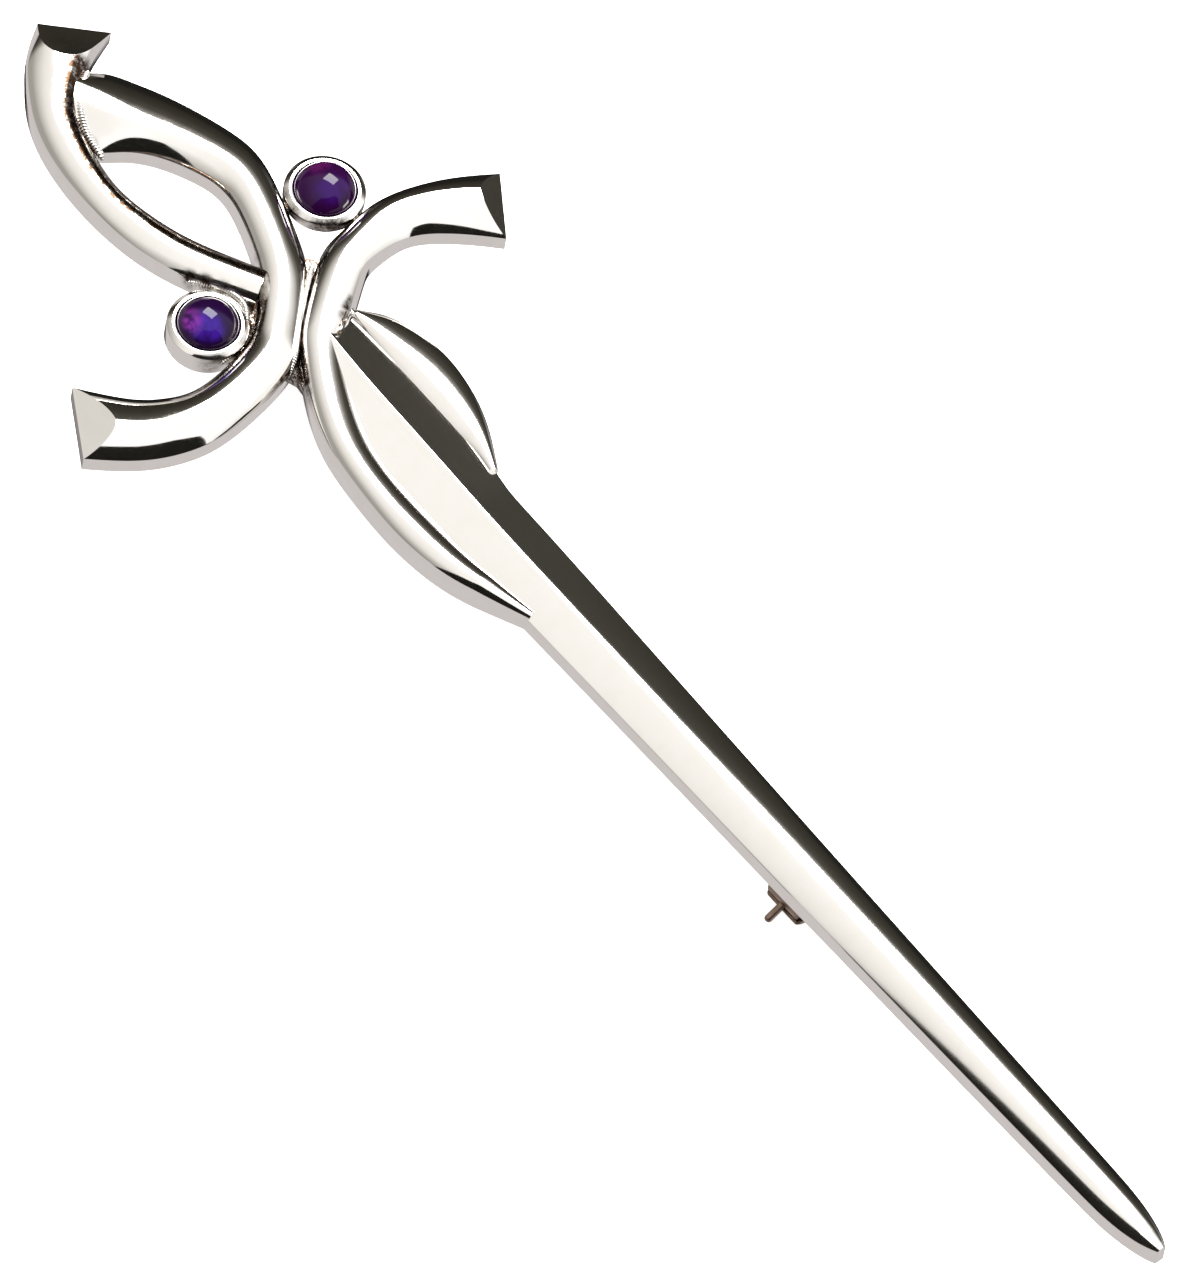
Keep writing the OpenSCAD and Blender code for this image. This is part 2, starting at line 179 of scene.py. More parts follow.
GUARD_ROWS = [
    [-0.117, 0.991, 0.021, 0.831, -0.35, -0.22, 1],
    [-0.172, 0.828, -0.041, 0.720, -0.25, -0.26, 1],
    [-0.208, 0.652, -0.094, 0.592, -0.1, -0.24, 1],
    [-0.216, 0.503, -0.107, 0.486, 0, -0.14, 1],
    [-0.201, 0.355, -0.100, 0.373, 0, 0, 1],
    [-0.174, 0.222, -0.074, 0.296, 0, 0, 1],
    [-0.080, 0.010, 0.002, 0.126, 0, 0, 1],
    [-0.020, -0.078, 0.055, 0.032, 0, 0, 1],
    [0.070, -0.172, 0.128, -0.036, 0, -0.05, 1],
    [0.194, -0.263, 0.234, -0.114, 0, -0.12, 1],
    [0.334, -0.300, 0.350, -0.150, 0, -0.15, 1],
    [0.475, -0.308, 0.480, -0.150, 0, -0.15, 1],
    [0.615, -0.273, 0.612, -0.140, 0, -0.15, 1],
    [0.720, -0.201, 0.714, -0.120, 0, -0.1, 1],
    [0.797, -0.137, 0.790, -0.100, 0, 0, 1],
]
# The leaf's places across are shares of BLADE_W
LEAF_ROWS = [
    [-0.030, 0.540, -0.036, 0.600, 0, 0, 0.45],
    [0.030, 0.535, 0.015, 0.887, 0, -0.3, 0.45],
    [0.095, 0.535, 0.080, 1.037, 0, -0.25, 0.45],
    [0.160, 0.535, 0.155, 1.123, 0, -0.12, 0.45],
    [0.225, 0.535, 0.228, 1.110, 0, 0.02, 0.45],
    [0.290, 0.535, 0.300, 1.030, 0, 0.12, 0.45],
    [0.350, 0.530, 0.362, 0.907, 0, 0.2, 0.45],
    [0.405, 0.515, 0.416, 0.753, 0, 0.18, 0.45],
    [0.455, 0.480, 0.466, 0.590, 0, 0.1, 0.4],
]
# How square a full half of a band is
FULL_POWER = 6
# How far the sloped end of a band runs inward over its rise, in shares of the band's width
HORN_CUT = 0.62
LEFT_ARM_CUT = 0.43
RIGHT_ARM_CUT = 0.32
# How far from the middle of its end a band may be cut, in the band's widths
CUT_REACH = 3.5

# Columns: place along the blade in shares of BLADE_L, left and right half widths and the ridge's place to
# the right in shares of half of BLADE_W, rise in shares of RIDGE_H, and how round the left and the right
# face are
BLADE_ROWS = [
    [0.000, 1.000, 1.190, 0.20, 1.00, 0.00, 0.00],
    [0.050, 1.000, 1.180, 0.11, 1.00, 0.00, 0.00],
    [0.100, 1.000, 1.170, 0.08, 0.99, 0.00, 0.00],
    [0.155, 0.995, 1.150, 0.04, 0.98, 0.02, 0.00],
    [0.185, 0.985, 1.045, 0.02, 0.97, 0.04, 0.00],
    [0.250, 0.970, 1.010, 0.00, 0.96, 0.10, 0.00],
    [0.420, 0.870, 0.890, 0.00, 0.94, 0.25, 0.30],
    [0.600, 0.775, 0.765, 0.00, 0.90, 0.50, 0.70],
    [0.780, 0.665, 0.655, 0.00, 0.855, 0.80, 0.85],
    [0.900, 0.580, 0.580, 0.00, 0.80, 1.00, 0.95],
    [0.952, 0.500, 0.515, 0.00, 0.72, 1.00, 1.00],
    [0.982, 0.310, 0.340, 0.00, 0.54, 1.00, 0.85],
    [0.996, 0.120, 0.145, 0.00, 0.30, 1.00, 0.90],
]
# The least half width at the point, as a share of half of BLADE_W
LEAST_HALF = 0.02
# How steeply the blade's end slants under the guard, and over which share of its length
TOP_SKEW = 0.62
SKEW_SHARE = 0.06

# The cups' middles, where the part's source brings them to lie beside two bands
LEFT_CUP = (-5.183, -4.817)
RIGHT_CUP = (-8.495, 7.176)

# Solder: how far noise moves a lump's surface and at which scale, coarse and fine
LUMP, LUMP_SCALE = 0.16, 1.7
FINE_LUMP, FINE_SCALE = 0.064, 5
LUMP_SIZE = (0.5, 0.5, 0.42)
# How far apart in the noise two lumps lie
LUMP_STEP = 3.1
# Ropes of solder: how finely they are drawn, how their ripples slant, and how they swell slowly
ROPE_STEPS = 40
ROPE_SIDES = 14
ROPE_LEAN = 1.5
SWELL, SWELL_RATE = 0.08, 2.1
# Webs of solder: their foot, their top and the depth of the hollow in millimetres, and the hollow's share
WEB_BASE = 0.05
WEB_TOP = 0.95
WEB_DIP = 0.5
WEB_HOLLOW = 0.12

# The wire's point: how much of its radius goes, and how late
POINT_TAPER = 0.875
POINT_POWER = 1.25
# The lever: how square its section is, its root as a share of ROTOR_R, and how blunt its tip is
LEVER_SQUARE = 0.55
LEVER_ROOT = 0.55
LEVER_BLUNT = 0.002
LEAST_TIP = 0.003
# Where the top of the right stone leans, to the photo's right, and by how many millimetres
LEAN_WAY = (0.64, 0.77)
RIGHT_STONE_LEAN = 0.3

# Distances in metres within which points are one, or lie on a plane
SAME_POINT = 1e-7
ON_PLANE = 1e-8


def place(x, y, z):
    """A point of the flat model in metres, where the part has it."""
    return Vector(((x + SHIFT_X) * MM, y * MM, (z + LIFT) * MM))


def spaced(first, last, steps):
    """Numbers from first to last in even steps."""
    return np.linspace(first, last, steps + 1)


def flow(rows, steps=ROW_STEPS, ease=EASE):
    """The rows of a table with even steps between them, on a curve of least bending."""
    rows = np.array(rows, float)
    count = (len(rows) - 1) * steps + 1
    pick = np.zeros((len(rows), count))
    pick[np.arange(len(rows)), np.arange(len(rows)) * steps] = 1
    for end in (0, -1):
        pick[end] *= END_PULL
        rows[end] *= END_PULL
    bend = np.zeros((count - 2, count))
    i = np.arange(count - 2)
    bend[i, i] = bend[i, i + 2] = 1
    bend[i, i + 1] = -2
    return np.linalg.solve(pick.T @ pick + ease * steps ** 3 * bend.T @ bend, pick.T @ rows)


def band_line(rows, across=GUARD_REACH):
    """A band's table on its curve, with its edges in millimetres."""
    return flow([[r[0] * HILT_L, r[1] * across, r[2] * HILT_L, r[3] * across] + r[4:] for r in rows])


def edge_line(rows, side):
    """The points of a band's right or left edge, in millimetres."""
    return band_line(rows)[:, side:side + 2]


def arc(half, rise, steps):
    """Points (t, height) over a chord of this half width from t = 1 to t = -1, evenly along an arc."""
    r = (half * half + rise * rise) / (2 * rise)
    reach = 2 * atan(rise / half)
    angles = spaced(reach, -reach, steps)
    return [(r * sin(a) / half, r * cos(a) - (r - rise)) for a in angles]


def round_angles(count):
    """Angles that lie evenly round a circle."""
    return spaced(0, 2 * pi, count)[:-1]


def curve(a, corner, b, shares):
    """Points at these shares of the way from a to b, on a curve drawn towards a corner."""
    return [tuple((1 - k) ** 2 * a + 2 * k * (1 - k) * corner + k * k * b) for k in shares]


def eased(before, corner, after, r, steps=CORNER_STEPS):
    """Points of a curve that cuts a corner from r before it to r after it."""
    before, corner, after = (np.array(p, float) for p in (before, corner, after))
    a = corner + (before - corner) * min(r / np.linalg.norm(before - corner), 0.5)
    b = corner + (after - corner) * min(r / np.linalg.norm(after - corner), 0.5)
    return curve(a, corner, b, spaced(0, 1, steps))


def softened(corners, r):
    """An open line with every corner between its ends eased."""
    points = [corners[0]]
    for before, corner, after in zip(corners, corners[1:], corners[2:]):
        points += eased(before, corner, after, r, FINE_STEPS)
    return points + [corners[-1]]


def outline(front, half_left, half_right):
    """A closed section (across, height): flat back with eased edges, walls, and the front, left to right."""
    left, right = -half_left, half_right
    points = eased((0, 0), (left, 0), (left, WALL_H), BACK_R)
    points += eased((left, 0), (left, WALL_H), front[1], CREASE_R)
    points += front[1:-1]
    points += eased(front[-2], (right, WALL_H), (right, 0), CREASE_R)
    points += eased((right, WALL_H), (right, 0), (0, 0), BACK_R)
    return points


def shown(name, mesh):
    """An object of the scene with this mesh."""
    obj = bpy.data.objects.new(name, mesh)
    bpy.context.scene.collection.objects.link(obj)
    return obj


def mesh_object(name, verts, faces):
    """An object of the scene from points and faces."""
    mesh = bpy.data.meshes.new(name)
    mesh.from_pydata([tuple(v) for v in verts], [], faces)
    mesh.update()
    return shown(name, mesh)


def bmesh_object(name, bm):
    """An object of the scene from a bmesh, which is used up."""
    mesh = bpy.data.meshes.new(name)
    bm.to_mesh(mesh)
    bm.free()
    return shown(name, mesh)


def merged(name, objs):
    """One piece from several closed meshes."""
    bm = bmesh.new()
    for obj in objs:
        data = obj.data
        bm.from_mesh(data)
        bpy.data.objects.remove(obj)
        bpy.data.meshes.remove(data)
    return bmesh_object(name, bm)


def ring_faces(n, i, k):
    """The faces between ring i and ring k, of n points each."""
    return [(i * n + j, i * n + (j + 1) % n, k * n + (j + 1) % n, k * n + j) for j in range(n)]


def loft(name, sections):
    """A closed solid through sections of the same number of points, in metres."""
    n = len(sections[0])
    verts = [p for section in sections for p in section]
    faces = [face for i in range(len(sections) - 1) for face in ring_faces(n, i, i + 1)]
    last = (len(sections) - 1) * n
    faces.append(tuple(range(n - 1, -1, -1)))
    faces.append(tuple(range(last, last + n)))
    return mesh_object(name, verts, faces)


def revolved(name, profile, steps=TURN_STEPS):
    """A closed profile (radius, height) turned about Z, as plain points that have no place yet."""
    verts = [(r * cos(a), r * sin(a), h) for a in round_angles(steps) for r, h in profile]
    faces = [face for i in range(steps) for face in ring_faces(len(profile), i, (i + 1) % steps)]
    obj = mesh_object(name, verts, faces)
    bm = bmesh.new()
    bm.from_mesh(obj.data)
    bmesh.ops.remove_doubles(bm, verts=bm.verts, dist=SAME_POINT)
    bm.to_mesh(obj.data)
    bm.free()
    return obj


def tidy(obj, cut=None, sharp=32):
    """Turns faces outwards, cuts a sloped end within its reach, shades smooth and keeps sharp edges."""
    bm = bmesh.new()
    bm.from_mesh(obj.data)
    facet_edges = set()
    if cut:
        point, normal, middle, reach = cut
        verts = {v for v in bm.verts if (v.co - middle).length < reach}
        edges = [e for e in bm.edges if all(v in verts for v in e.verts)]
        faces = [f for f in bm.faces if all(v in verts for v in f.verts)]
        made = bmesh.ops.bisect_plane(
            bm, geom=list(verts) + edges + faces, dist=ON_PLANE, plane_co=point, plane_no=normal,
            clear_outer=True)
        edges = [e for e in made["geom_cut"] if isinstance(e, bmesh.types.BMEdge)]
        filled = bmesh.ops.holes_fill(bm, edges=edges, sides=0)
        facet_edges = {e for f in filled["faces"] for e in f.edges}
    bmesh.ops.recalc_face_normals(bm, faces=bm.faces)
    for f in bm.faces:
        f.smooth = True
    for e in bm.edges:
        if len(e.link_faces) == 2:
            e.smooth = e not in facet_edges and degrees(e.calc_face_angle(0)) < sharp
    bm.to_mesh(obj.data)
    bm.free()
    return obj


def end_cut(end, inner, cut):
    """The sloped cut of a band's end: a point of the plane and its normal, then its middle and reach."""
    a, b = Vector((end[0], end[1], 0)), Vector((end[2], end[3], 0))
    width = (b - a).length
    inward = Vector((b.y - a.y, a.x - b.x, 0)).normalized()
    inner_point = Vector(((inner[0] + inner[2]) / 2, (inner[1] + inner[3]) / 2, 0))
    if inward.dot(inner_point - (a + b) / 2) < 0:
        inward = -inward
    rise = CROWN_H + CROWN_GAIN * width / 2
    slope = (inward * cut * width + Vector((0, 0, rise))).normalized()
    normal = (b - a).normalized().cross(slope)
    if normal.z < 0:
        normal = -normal
    middle = place((a.x + b.x) / 2, (a.y + b.y) / 2, WALL_H)
    return place(a.x, a.y, WALL_H), normal, middle, width * CUT_REACH * MM


def band(name, rows, cut=0.0, cut_last=False, across=GUARD_REACH):
    """A band lofted through its table, with a sloped facet at its first or last end."""
    line = band_line(rows, across)
    sections = []
    for rx, ry, lx, ly, full, lean, swell in line:
        half = sqrt((lx - rx) ** 2 + (ly - ry) ** 2) / 2
        rise = min((CROWN_H + CROWN_GAIN * half) * swell, half)
        ridged = max(-full, 0)
        front = []
        for t, h in arc(half, rise, DOME_STEPS):
            filled = min(max(full, 0), 1) if t > 0 else 0
            full_h = rise * (1 - min(t, 1) ** FULL_POWER)
            ridge_h = rise * (1 - abs(t))
            h = h * (1 - filled - ridged) + full_h * filled + ridge_h * ridged
            front.append((-(lean + t * (1 - lean if t > 0 else 1 + lean)) * half, WALL_H + h))
        section = []
        for offset, z in outline(front, half, half):
            k = offset / half
            section.append(place((rx + lx) / 2 - (lx - rx) / 2 * k, (ry + ly) / 2 - (ly - ry) / 2 * k, z))
        sections.append(section)
    obj = loft(name, sections)
    if not cut:
        return tidy(obj)
    end, inner = (line[-1], line[-2]) if cut_last else (line[0], line[1])
    return tidy(obj, end_cut(end, inner, cut))


def blade_face(edge, ridge, top, roundness, soft):
    """Points (across, height) of one face of the blade, from its edge to where the ridge turns soft."""
    half = abs(edge - ridge)
    roundness = min(max(roundness, 0), 1)
    r = (half * half + top * top) / (2 * top)
    points = []
    for t in spaced(1, min(soft / half, 0.5), FACE_STEPS):
        flat_h = (1 - t) * top
        round_h = sqrt(max(r * r - half * half * t * t, 0)) - (r - top)
        height = WALL_H + flat_h * (1 - roundness) + round_h * roundness
        points.append((ridge + (edge - ridge) * t, height))
    return points


def blade(name):
    """The blade: a ridge between two faces that turn from flat to round towards the point."""
    sections = []
    for along, left, right, ridge, rise, round_left, round_right in flow(BLADE_ROWS, BLADE_STEPS, FIRM_EASE):
        left, right = max(left, LEAST_HALF) * BLADE_W / 2, max(right, LEAST_HALF) * BLADE_W / 2
        ridge *= BLADE_W / 2
        top = rise * RIDGE_H
        slant = TOP_SKEW * max(1 - along / SKEW_SHARE, 0)
        soft = RIDGE_R + SOFT_RIDGE * min(max((along - SOFT_FROM) / SOFT_OVER, 0), 1)
        left_face = blade_face(-left, ridge, top, round_left, soft)
        right_face = blade_face(right, ridge, top, round_right, soft)
        peak = np.array([ridge, WALL_H + top])
        shares = spaced(0, 1, RIDGE_STEPS)[1:-1]
        front = left_face + curve(np.array(left_face[-1]), peak, np.array(right_face[-1]), shares)
        front += right_face[::-1]
        section = outline(front, left, right)
        sections.append([place(along * BLADE_L - across * slant, across, z) for across, z in section])
    return tidy(loft(name, sections), sharp=14)


def cup(name, centre, base):
    """A cup with a bevelled rim that leans in over its stone, open to the stone's seat."""
    inner = CUP_R - CUP_WALL
    lip = inner - LIP
    floor_h = base + CUP_FLOOR
    edge, under, seat = (RIM_H - drop for drop in RIM_DROPS)
    corners = [
        (0, base), (CUP_R, base), (CUP_R, RIM_H - CUP_WALL * RIM_BEVEL),
        (inner + CUP_WALL * RIM_FLAT, RIM_H), (lip, edge), (lip, under), (inner, seat), (inner, floor_h),
        (0, floor_h)]
    obj = revolved(name, softened(corners, CUP_EDGE))
    for v in obj.data.vertices:
        v.co = place(centre[0] + v.co.x, centre[1] + v.co.y, v.co.z)
    return tidy(obj)


def gem(name, centre, base, lean=0.0):
    """A cabochon: a high dome, whose top may lean, over a short girdle with a chamfered underside."""
    r = STONE_D / 2
    bottom = base + CUP_FLOOR + SEAT_GAP
    top = RIM_H + STONE_RISE
    girdle = RIM_H - CUP_WALL * GIRDLE_DROP
    dome_foot = r - LIP
    dome = (dome_foot * dome_foot + (top - girdle) ** 2) / (2 * (top - girdle))
    reach = np.arcsin(dome_foot / dome)
    profile = [(0, bottom), (r - STONE_BEVEL, bottom), (r, bottom + STONE_BEVEL), (r, girdle - STONE_BEVEL)]
    profile += [(dome * sin(a), top - dome + dome * cos(a)) for a in spaced(reach, 0, GEM_RISE_STEPS)]
    obj = revolved(name, profile, GEM_STEPS)
    for v in obj.data.vertices:
        lift = max(v.co.z - girdle, 0) / (top - girdle)
        moved = lean * lift * lift
        v.co = place(
            centre[0] + v.co.x + moved * LEAN_WAY[0], centre[1] + v.co.y + moved * LEAN_WAY[1], v.co.z)
    return tidy(obj)


def nearest(p, rows, side):
    """The point of a band's right or left edge that is nearest to p, in millimetres."""
    edge = edge_line(rows, side)
    return edge[np.argmin(np.linalg.norm(edge - np.array(p), axis=1))]


def blob(name, centre, seed):
    """A lump of solder: a ball pulled to a size and pushed in and out by noise."""
    bm = bmesh.new()
    bmesh.ops.create_icosphere(bm, subdivisions=5, radius=1)
    for v in bm.verts:
        coarse = LUMP * noise.noise(v.co * LUMP_SCALE + Vector((seed, 0, 0)))
        k = 1 + coarse + FINE_LUMP * noise.noise(v.co * FINE_SCALE)
        v.co = place(*(centre[i] + v.co[i] * LUMP_SIZE[i] * k for i in range(3)))
    return tidy(bmesh_object(name, bm))


def rope(name, radius, pitch, height, points):
    """A rope of solder drawn out by the torch: a tube with slanting ripples along a curve (x, y, z)."""
    line = flow(points, ROPE_STEPS, FIRM_EASE)
    way = np.concatenate([[0], np.cumsum(np.linalg.norm(np.diff(line, axis=0), axis=1))])
    sections = []
    for i, p in enumerate(line):
        along = Vector(line[min(i + 1, len(line) - 1)] - line[max(i - 1, 0)]).normalized()
        side = along.cross(Vector((0, 0, 1))).normalized()
        up = side.cross(along)
        end = max(1 - (2 * way[i] / way[-1] - 1) ** 8, 0.02) ** 0.5
        swell = SWELL * sin(way[i] * SWELL_RATE)
        ring = []
        for j in range(ROPE_SIDES):
            a = 2 * pi * j / ROPE_SIDES
            r = radius * end * (1 + height * cos(2 * pi * way[i] / pitch + ROPE_LEAN * cos(a)) + swell)
            ring.append(place(*(Vector(p) + side * (r * cos(a)) + up * (r * sin(a)))))
        sections.append(ring)
    return tidy(loft(name, sections), sharp=180)


def web(name, points):
    """A fillet of solder between the bands: upright sides under a top that sinks to a small hollow."""
    line = np.array([[p[0] * HILT_L, p[1] * GUARD_REACH] for p in points])
    middle = line.mean(axis=0)
    rings = [(WEB_BASE, 1), (WEB_TOP, 1), (WEB_TOP - WEB_DIP, WEB_HOLLOW)]
    sections = [[place(*(middle + (p - middle) * share), z) for p in line] for z, share in rings]
    return tidy(loft(name, sections), sharp=50)


def about_wire(x, r, angle):
    """A point round the wire's middle line; the angle runs from straight left of the blade to the back."""
    return place(x, -r * cos(angle), -WIRE_DROP - r * sin(angle))


def housing(name):
    """The catch's rolled wall with rounded, crimped ends and rounded lips at its mouth."""
    end = CATCH_L / 2
    inner = BORE_R - CRIMP
    half = [(BORE_R, end - CRIMP), (inner, end - CRIMP), (inner, end)]
    for a in spaced(pi / 2, 0, END_STEPS):
        half.append((BORE_R + CATCH_WALL * cos(a), end - CATCH_WALL + CATCH_WALL * sin(a)))
    profile = half + [(r, -h) for r, h in half[::-1]]
    # The wall's middle line, to which the section shrinks at both lips
    core = [(BORE_R + CRIMP, min(max(h, CRIMP - end), end - CRIMP)) for r, h in profile]
    start, stop = radians(MOUTH_BOTTOM), radians(360 + MOUTH_TOP)
    lip = CATCH_WALL / 2 / CATCH_R
    rounding = spaced(LIP_FIRST, pi / 2, LIP_STEPS)
    angles = [(start + lip * (1 - cos(k)), sin(k)) for k in rounding]
    angles += [(a, 1) for a in spaced(start + lip, stop - lip, WALL_STEPS)[1:-1]]
    angles += [(stop - lip * (1 - cos(k)), sin(k)) for k in rounding[::-1]]
    sections = []
    for a, share in angles:
        sections.append([
            about_wire(CATCH_X + m[1] + (p[1] - m[1]) * share, m[0] + (p[0] - m[0]) * share, a)
            for p, m in zip(profile, core)])
    return tidy(loft(name, sections))


def rounded_box(name, low, high, r):
    """A block with eased edges."""
    bm = bmesh.new()
    bmesh.ops.create_cube(bm, size=1)
    for v in bm.verts:
        v.co = Vector(((v.co[i] + 0.5) * (high[i] - low[i]) + low[i] for i in range(3)))
    bmesh.ops.bevel(bm, geom=bm.edges[:], offset=r, segments=CORNER_STEPS, profile=0.5, affect="EDGES")
    for v in bm.verts:
        v.co = place(*v.co)
    return tidy(bmesh_object(name, bm))


def saddle(name):
    """The block that holds the catch's housing to the blade's back."""
    low = (CATCH_X - CATCH_L * SADDLE_SHARE, -SADDLE_W / 2, -WIRE_DROP + BORE_R + CATCH_WALL / 4)
    high = (CATCH_X + CATCH_L * SADDLE_SHARE, SADDLE_W / 2, WALL_H / 2)
    return rounded_box(name, low, high, SADDLE_EDGE)


def pin(name):
    """The foot with its round drum, and the straight wire drawn to a point."""
    r, rim = CATCH_R, CATCH_R - DRUM_BEVEL
    half = FOOT_W / 2
    flank = half - DRUM_BEVEL
    corners = [(0, -half), (rim, -half), (r, -flank), (r, flank), (rim, half), (0, half)]
    drum = revolved(name + "_drum", softened(corners, CATCH_EDGE))
    for v in drum.data.vertices:
        x, y, h = v.co
        v.co = place(FOOT_X + x, h, -WIRE_DROP + y)
    low = (FOOT_X - NECK_T / 2, -half, -WIRE_DROP)
    high = (FOOT_X + NECK_T / 2, half, -SEAT_GAP)
    neck = rounded_box(name + "_neck", low, high, NECK_EDGE)
    shank = CATCH_X + CATCH_L / 2 + WIRE_PAST - FOOT_X - POINT_L
    sections = []
    for s in [*spaced(0, shank, SHANK_STEPS), *spaced(shank, shank + POINT_L, POINT_STEPS)[1:]]:
        taper = max((s - shank) / POINT_L, 0)
        wire_r = WIRE_D / 2 * (1 - POINT_TAPER * taper ** POINT_POWER)
        sections.append([
            place(FOOT_X + s, wire_r * cos(a), -WIRE_DROP + wire_r * sin(a))
            for a in round_angles(ROUND_STEPS)])
    wire = tidy(loft(name + "_wire", sections), sharp=50)
    return merged(name, [tidy(drum), neck, wire])


def slotted_drum(name):
    """The turning drum of the catch with the slot that takes the wire."""
    hole = SLOT_W / 2
    open_half = np.arcsin(hole / ((ROTOR_R + hole) / 2))
    end = ROTOR_L / 2
    corners = [(hole, -end), (ROTOR_R, -end), (ROTOR_R, end), (hole, end)]
    profile = []
    for i, corner in enumerate(corners):
        profile += eased(corners[i - 1], corner, corners[(i + 1) % 4], CATCH_EDGE, FINE_STEPS)
    start = radians(SLOT_ANGLE) + open_half
    stop = radians(SLOT_ANGLE) + 2 * pi - open_half
    sections = [[about_wire(CATCH_X + h, r, a) for r, h in profile] for a in spaced(start, stop, DRUM_STEPS)]
    return tidy(loft(name, sections))


def round_lever(name):
    """The short lever on the drum, with a rounded section and a round tip."""
    turned = radians(LEVER_ANGLE)
    tip_r = LEVER_T / 2
    straight = LEVER_REACH - tip_r
    tip = [straight + tip_r * sin(k) for k in spaced(0, pi / 2, END_STEPS)[1:-1]]
    sections = []
    for s in [*spaced(ROTOR_R * LEVER_ROOT, straight, LEVER_STEPS), *tip, LEVER_REACH - LEVER_BLUNT]:
        past = max((s - straight) / tip_r, 0)
        k = sqrt(max(1 - past * past, LEAST_TIP))
        ring = []
        for a in round_angles(ROUND_STEPS):
            u = LEVER_W / 2 * k * copysign(abs(cos(a)) ** LEVER_SQUARE, cos(a))
            w = LEVER_T / 2 * k * copysign(abs(sin(a)) ** LEVER_SQUARE, sin(a))
            y = -(s * cos(turned)) + w * sin(turned)
            z = -(s * sin(turned)) - w * cos(turned)
            ring.append(place(CATCH_X + u, y, -WIRE_DROP + z))
        sections.append(ring)
    return tidy(loft(name, sections), sharp=60)


# Ropes of solder: radius, pitch and height of the ripples, and the points of the rope's curve
ROPES = {
    "seam_middle": (0.2, 0.16, 0.14, [
        [-4.97, 3.4, 1.15], [-4.53, 2.79, 1.35], [-3.6, 1.63, 1.48], [-2.51, 0.33, 1.5],
        [-1.92, -0.32, 1.5], [-0.65, -1.62, 1.45], [-0.06, -2.27, 1.35], [0.45, -3.0, 1.0]]),
    "seam_horn": (0.25, 0.2, 0.16, [
        [-23.7, 0.99, 1.45], [-23.33, 0.29, 1.6], [-22.77, -0.41, 1.68], [-22.09, -1.06, 1.7],
        [-21.25, -1.6, 1.68], [-20.39, -2.0, 1.6], [-19.57, -2.21, 1.5], [-18.82, -2.27, 1.4],
        [-18.22, -2.3, 1.2]]),
    "seam_cup": (0.2, 0.17, 0.16, [
        [-8.53, -3.75, 1.1], [-7.52, -2.9, 1.3], [-6.71, -2.4, 1.38], [-5.86, -2.08, 1.4],
        [-5.08, -2.08, 1.4], [-4.36, -2.42, 1.4], [-3.76, -3.0, 1.38], [-3.2, -3.85, 1.36],
        [-2.85, -4.8, 1.3], [-2.7, -5.8, 1.05]]),
    "seam_crescent": (0.17, 0.17, 0.16, [
        [-7.89, 1.72, 1.05], [-7.03, 1.09, 1.25], [-5.99, 0.45, 1.35], [-4.98, -0.23, 1.35],
        [-4.13, -1.25, 1.35], [-3.52, -2.23, 1.1]]),
    "seam_blade": (0.11, 0.16, 0.12, [
        [0.50, 0.43, 1.95], [0.17, 1.09, 2.05], [-0.23, 1.89, 2.05], [-0.70, 2.93, 1.95]]),
}
# Lumps of solder between a cup and a band: the cup's middle, the lump's height, the band and its edge
LUMPS = [
    (LEFT_CUP, 0.6, HORN_ROWS, RIGHT_EDGE),
    (LEFT_CUP, 0.6, CRESCENT_ROWS, RIGHT_EDGE),
    (RIGHT_CUP, 0.85, CRESCENT_ROWS, LEFT_EDGE),
    (RIGHT_CUP, 0.85, GUARD_ROWS, RIGHT_EDGE),
]
# Webs of solder: outline points in shares of HILT_L and GUARD_REACH
WEBS = [
    [[-0.198, 0.193], [-0.177, 0.239], [0.030, -0.130], [0.082, -0.165], [0.060, -0.158], [0.030, -0.152],
     [0.005, -0.168], [-0.020, -0.120]],
    [[-0.200, -0.050], [-0.140, -0.050], [-0.100, -0.150], [-0.120, -0.190], [-0.170, -0.160]],
]

body = [
    band("horn_band", HORN_ROWS, HORN_CUT),
    band("crescent_band", CRESCENT_ROWS, LEFT_ARM_CUT, cut_last=True),
    band("guard_band", GUARD_ROWS, RIGHT_ARM_CUT),
    band("leaf_band", LEAF_ROWS, across=BLADE_W),
    blade("blade"),
    cup("left_cup", LEFT_CUP, 0),
    cup("right_cup", RIGHT_CUP, RIGHT_CUP_BASE),
    housing("catch_housing"),
    saddle("catch_saddle"),
]
for name, form in ROPES.items():
    body.append(rope(name, *form))
for i, (cup_centre, z, rows, side) in enumerate(LUMPS):
    x, y = nearest(cup_centre, rows, side)
    body.append(blob("solder_cup_%d" % (i + 1), (x, y, z), i * LUMP_STEP))
for i, points in enumerate(WEBS):
    body.append(web("solder_web_%d" % (i + 1), points))
stones = {
    "stone_left": gem("amethyst_left", LEFT_CUP, 0),
    "stone_right": gem("amethyst_right", RIGHT_CUP, RIGHT_CUP_BASE, RIGHT_STONE_LEAN),
}
wire = pin("pin_wire")
lever = merged("catch_rotor", [slotted_drum("catch_rotor_drum"), round_lever("catch_rotor_lever")])

# Painted spots: how much stronger than full they are in the middle, and how sharply they end
SPOT_PEAK = 1.15
SPOT_POWER = 4
# Painted stripes of tarnish and painted shade: how softly their sides end in millimetres, how sharply their
# ends, and the height from which they show and over which they come in, so that a band's wall stays
# unpainted
STRIPE_SIDE = 0.12
STRIPE_ENDS = 25
STRIPE_FROM = 0.75
STRIPE_OVER = 0.2


def flat_points(obj):
    """The mesh's points in the flat model's millimetres."""
    points = np.empty(len(obj.data.vertices) * 3)
    obj.data.vertices.foreach_get("co", points)
    return points.reshape(-1, 3) / MM - np.array([SHIFT_X, 0, LIFT])


